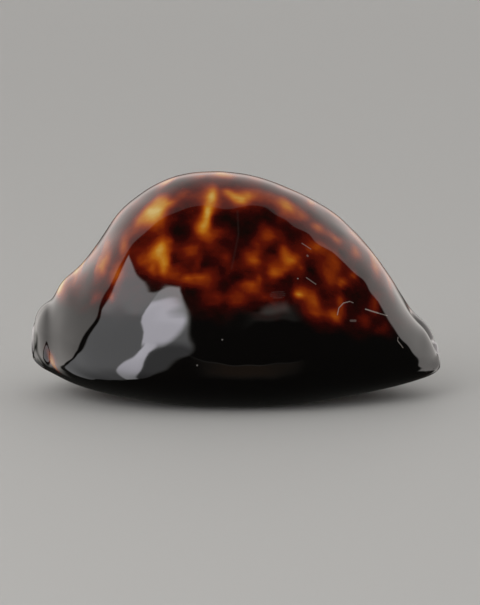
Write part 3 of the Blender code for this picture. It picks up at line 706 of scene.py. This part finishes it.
from_left = math("SUBTRACT", azimuth, by_height(BOX_LEFT_EDGE))
from_right = math("SUBTRACT", by_height(BOX_RIGHT_EDGE), azimuth)
left_of_gap = edge(from_left, GAP_SOFTNESS - GAP_HALF_WIDTH, -GAP_SOFTNESS - GAP_HALF_WIDTH)
right_of_box = edge(math("SUBTRACT", azimuth, by_height(TENT_RIGHT_EDGE)), *TENT_RIGHT_SOFTNESS)
tent_foot = edge(math("MULTIPLY_ADD", heading["X"], TENT_FOOT_SLANT, height), *TENT_FOOT)
tent = math("MULTIPLY", math("MAXIMUM", left_of_gap, right_of_box), tent_foot)
from_behind = node("VectorMath", {0: facing, 1: STRAIGHT_BEHIND}, operation="DOT_PRODUCT").outputs["Value"]
tent = math("MULTIPLY", tent, edge(from_behind, *BEHIND))
under_backdrop = math("MULTIPLY", edge(heading["Y"], *BACKDROP_BACK), edge(height, *BACKDROP_TOP))
tent = math("MULTIPLY", tent, math("SUBTRACT", 1.0, under_backdrop))
tent_light = math("MULTIPLY", by_height(TENT_RADIANCE), math("MULTIPLY_ADD", heading["X"], TENT_SLOPE, 1.0))

right_of_gap = edge(from_left, GAP_HALF_WIDTH - GAP_SOFTNESS, GAP_HALF_WIDTH + GAP_SOFTNESS)
box = math("MULTIPLY", right_of_gap, edge(from_right, *BOX_RIGHT_SOFTNESS))
box = math("MULTIPLY", box, edge(math("MULTIPLY_ADD", azimuth, BOX_TOP_SLANT, height), *BOX_TOP))
box = math("MULTIPLY", box, edge(height, *BOX_FOOT))
beside = math("SUBTRACT", azimuth, by_height(STRIPE_MIDDLE))
past_stripe = math("MULTIPLY", edge(beside, *PAST_STRIPE), edge(height, *PAST_STRIPE_TOP))
kept_past_stripe = math("MULTIPLY_ADD", past_stripe, PAST_STRIPE_LOSS, 1.0)
box_light = math("MULTIPLY", by_height(BOX_RADIANCE), kept_past_stripe)
box_shade = math("MULTIPLY_ADD", edge(azimuth, *BOX_LEFT_SHADE), 1.0 - BOX_LEFT_LEAST, BOX_LEFT_LEAST)
box_light = math("MULTIPLY", box_light, box_shade)

across_stripe = math("MULTIPLY", math("ABSOLUTE", beside), math("COSINE", math("RADIANS", height)))
stripe = math("MULTIPLY", edge(across_stripe, *STRIPE_WIDTH), by_height(STRIPE_RADIANCE))
window = math("MULTIPLY", edge(azimuth, *WINDOW_LEFT), edge(azimuth, *WINDOW_RIGHT))
window = math("MULTIPLY", window, edge(math("MULTIPLY_ADD", azimuth, WINDOW_SLANT, height), *WINDOW_SILL))
window = math("MULTIPLY", window, edge(height, *WINDOW_FOOT))
window_light = math("MULTIPLY_ADD", edge(height, *WINDOW_TOP), WINDOW_GAIN, WINDOW_LEAST)
bright = math("MAXIMUM", stripe, math("MULTIPLY", window, window_light))

lamp = math("MULTIPLY", spot(azimuth, *LAMP[0]), spot(height, *LAMP[1]))
haze = math("MULTIPLY", spot(azimuth, *HAZE[0]), spot(height, *HAZE[1]))
off_middle = math("POWER", math("SUBTRACT", azimuth, DESK_MIDDLE), 2.0)
bowed = math("MULTIPLY_ADD", off_middle, DESK_BOW, height)
desk = math("MULTIPLY", spot(azimuth, *DESK), edge(bowed, *DESK_TOP))
desk = math("MULTIPLY", desk, edge(height, *DESK_FOOT))
rim = math("MULTIPLY", spot(azimuth, *RIM[0]), spot(bowed, *RIM[1]))

room_light = ROOM_RADIANCE
for glow, radiance in ((lamp, LAMP_RADIANCE), (haze, HAZE_RADIANCE), (desk, DESK_RADIANCE),
                       (rim, RIM_RADIANCE)):
    room_light = math("MULTIPLY_ADD", glow, radiance, room_light)
strength = math("MULTIPLY", tent, tent_light)
strength = math("ADD", strength, math("MULTIPLY", box, math("ADD", box_light, bright)))
strength = math("ADD", strength, room_light)
room_colour = mixed(desk, DARK_COLOUR, DESK_COLOUR)
box_colour = mixed(edge(bright, *WINDOW_TINT), BOX_COLOUR, WINDOW_COLOUR)
colour = mixed(tent, mixed(box, room_colour, box_colour), TENT_COLOUR)
studio = node("VectorMath", {0: colour, "Scale": strength}, operation="SCALE").outputs["Vector"]

# The shell's gloss mirrors the studio. Diffuse surfaces get an even light in its place, and the camera sees a
# plain wall.
path = node("LightPath").outputs
seen = mixed(path["Is Camera Ray"], mixed(path["Is Glossy Ray"], SOFT_LIGHT, studio), SEEN_WORLD)
links.new(seen, nodes["Background"].inputs["Color"])


def panel(name, azimuth, height, distance, width, tall, radiance):
    """A flat soft light that faces the shell and isn't mirrored by it. Its power is its radiance times pi
    times its area."""
    light = bpy.data.lights.new(name, "AREA")
    light.shape = "RECTANGLE"
    light.size, light.size_y = width, tall
    light.energy = radiance * np.pi * width * tall
    made = bpy.data.objects.new(name, light)
    turn = np.radians(azimuth)
    made.location = distance * np.sin(turn), -distance * np.cos(turn), height
    made.rotation_euler = np.arctan2(distance, height), 0, turn
    made.visible_camera = False
    made.visible_glossy = False
    bpy.context.scene.collection.objects.link(made)


panel("soft_light", azimuth=-42, height=0.45, distance=0.60, width=0.5, tall=0.5, radiance=1.6)

# The camera
# It looks from the labral side, 8 degrees above the floor, through a long lens. The shell's 80 mm span 407 of
# the picture's 480 pixels across, and the picture is 605 pixels high. AIM is how far the picture's middle
# is to the right of and above the shell's origin, in pixels.

PIXELS_HIGH, PIXELS_PER_METRE = 605, 5087.5
ELEVATION = np.radians(8)
AIM = (240 - 235.5, 393 - 302.5)
LENS, SENSOR_WIDTH = 200.0, 36.0

camera_data = bpy.data.cameras.new("camera")
camera_data.lens, camera_data.sensor_width = LENS, SENSOR_WIDTH
camera = bpy.data.objects.new("camera", camera_data)
distance = camera_data.lens / camera_data.sensor_width * PIXELS_HIGH / PIXELS_PER_METRE
right, up = AIM[0] / PIXELS_PER_METRE, AIM[1] / PIXELS_PER_METRE
camera.location = (right, up * np.sin(ELEVATION) - distance * np.cos(ELEVATION),
                   up * np.cos(ELEVATION) + distance * np.sin(ELEVATION))
camera.rotation_euler = np.pi / 2 - ELEVATION, 0, 0
bpy.context.scene.collection.objects.link(camera)
bpy.context.scene.camera = camera
bpy.context.scene.view_settings.view_transform = "Standard"
